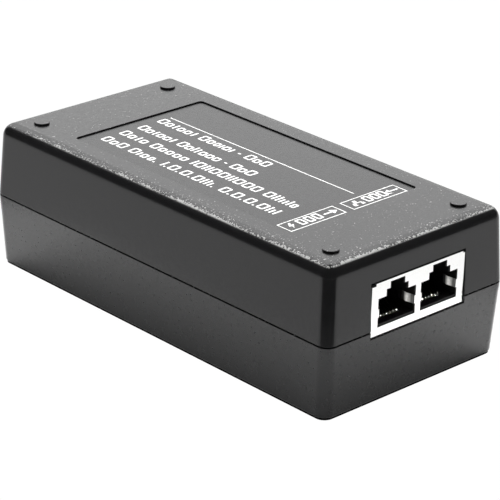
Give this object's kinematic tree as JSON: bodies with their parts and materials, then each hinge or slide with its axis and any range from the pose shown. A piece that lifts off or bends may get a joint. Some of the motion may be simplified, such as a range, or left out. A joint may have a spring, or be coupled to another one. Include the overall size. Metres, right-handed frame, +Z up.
{
  "type": "poe injector",
  "caption": "Black plastic brick that feeds power into a network cable: two shielded network jacks on one end, a mains inlet on the other, a label recess on top.",
  "frame": {"origin": "centre of the case's footprint, on the plane that the rubber feet stand on", "axes": "+Z up, -Y out of the network jacks, +Y out of the mains inlet, X across the width"},
  "size_m": [0.0594, 0.1204, 0.0385],
  "materials": {
    "cover_plastic": "black, fine spark-eroded grain",
    "case_plastic": "black, fine spark-eroded grain",
    "label_film": "black film with white print",
    "screw_steel": "zinc plated",
    "foot_rubber": "soft black rubber",
    "shield_nickel": "nickel-plated sheet steel",
    "jack_plastic": "black glass-filled nylon",
    "contact_gold": "gold-plated phosphor bronze",
    "solder_mask": "green solder mask",
    "phenolic_board": "paper-based board",
    "chip_epoxy": "moulded epoxy",
    "nylon": "natural nylon",
    "sheet_film": "insulating paper",
    "inlet_plastic": "black moulded plastic",
    "pin_nickel": "nickel-plated brass",
    "fuse_brown": "brown moulded body",
    "disc_green": "dark green epoxy coat",
    "disc_blue": "blue epoxy coat",
    "film_yellow": "yellow box",
    "ferrite": "sintered ferrite",
    "core_coat": "epoxy-coated core",
    "copper_wire": "enamelled copper wire",
    "bobbin_plastic": "black phenolic",
    "winding_tape": "yellow polyester tape",
    "heatsink_alu": "bare sheet",
    "can_blue": "printed heat-shrink sleeve",
    "opto_white": "white moulded body"
  },
  "bodies": {
    "housing": {"top_cover": "cover_plastic", "bottom_case": "case_plastic", "rating_label": "label_film", "case_screws": "screw_steel", "rubber_feet": "foot_rubber", "jack_shield": "shield_nickel", "jack_housing": "jack_plastic", "contact_carriers": "jack_plastic", "port_1_contact_leads": "contact_gold", "port_2_contact_leads": "contact_gold", "lan_pcb": "solder_mask", "lan_magnetics": "chip_epoxy", "pse_controller": "chip_epoxy", "lan_board_resistors": "chip_epoxy", "board_header": "jack_plastic", "header_pins": "contact_gold", "board_spacers": "nylon", "lan_board_screws": "screw_steel", "main_pcb": "phenolic_board", "main_board_screws": "screw_steel", "insulating_sheet": "sheet_film", "ac_inlet_body": "inlet_plastic", "inlet_power_pins": "pin_nickel", "inlet_earth_pin": "pin_nickel", "fuse": "fuse_brown", "ntc_thermistor": "disc_green", "varistor": "disc_blue", "x_capacitor": "film_yellow", "choke_core": "core_coat", "choke_windings": "copper_wire", "choke_base": "bobbin_plastic", "bridge_rectifier": "chip_epoxy", "bulk_capacitor": "can_blue", "primary_heatsink": "heatsink_alu", "switching_transistor": "chip_epoxy", "heatsink_screws": "screw_steel", "transformer_core": "ferrite", "transformer_bobbin": "bobbin_plastic", "transformer_winding": "winding_tape", "secondary_heatsink": "heatsink_alu", "output_diode": "chip_epoxy", "output_capacitors": "can_blue", "output_choke": "ferrite", "y_capacitor": "disc_blue", "optocoupler": "opto_white", "power_controller": "chip_epoxy"},
    "port_1_contact_springs_body": {"port_1_contact_springs": "contact_gold"},
    "port_1_left_finger_body": {"port_1_left_finger": "shield_nickel"},
    "port_1_right_finger_body": {"port_1_right_finger": "shield_nickel"},
    "port_2_contact_springs_body": {"port_2_contact_springs": "contact_gold"},
    "port_2_left_finger_body": {"port_2_left_finger": "shield_nickel"},
    "port_2_right_finger_body": {"port_2_right_finger": "shield_nickel"}
  },
  "joints": [
    {"name": "port_1_contacts_press", "type": "hinge", "parent": "housing", "child": "port_1_contact_springs_body", "pos_m": [-0.00698, -0.05615, 0.01965], "axis": [-1, 0, 0], "range_deg": [0, 12], "stiffness_Nm_per_rad": 0.02},
    {"name": "port_2_contacts_press", "type": "hinge", "parent": "housing", "child": "port_2_contact_springs_body", "pos_m": [0.00698, -0.05615, 0.01965], "axis": [-1, 0, 0], "range_deg": [0, 12], "stiffness_Nm_per_rad": 0.02},
    {"name": "port_1_left_finger_press", "type": "hinge", "parent": "housing", "child": "port_1_left_finger_body", "pos_m": [-0.01286, -0.05928, 0.02275], "axis": [0, 0, 1], "range_deg": [0, 7], "stiffness_Nm_per_rad": 0.005},
    {"name": "port_1_right_finger_press", "type": "hinge", "parent": "housing", "child": "port_1_right_finger_body", "pos_m": [-0.00111, -0.05928, 0.02275], "axis": [0, 0, -1], "range_deg": [0, 7], "stiffness_Nm_per_rad": 0.005},
    {"name": "port_2_left_finger_press", "type": "hinge", "parent": "housing", "child": "port_2_left_finger_body", "pos_m": [0.00111, -0.05928, 0.02275], "axis": [0, 0, 1], "range_deg": [0, 7], "stiffness_Nm_per_rad": 0.005},
    {"name": "port_2_right_finger_press", "type": "hinge", "parent": "housing", "child": "port_2_right_finger_body", "pos_m": [0.01286, -0.05928, 0.02275], "axis": [0, 0, -1], "range_deg": [0, 7], "stiffness_Nm_per_rad": 0.005}
  ]
}
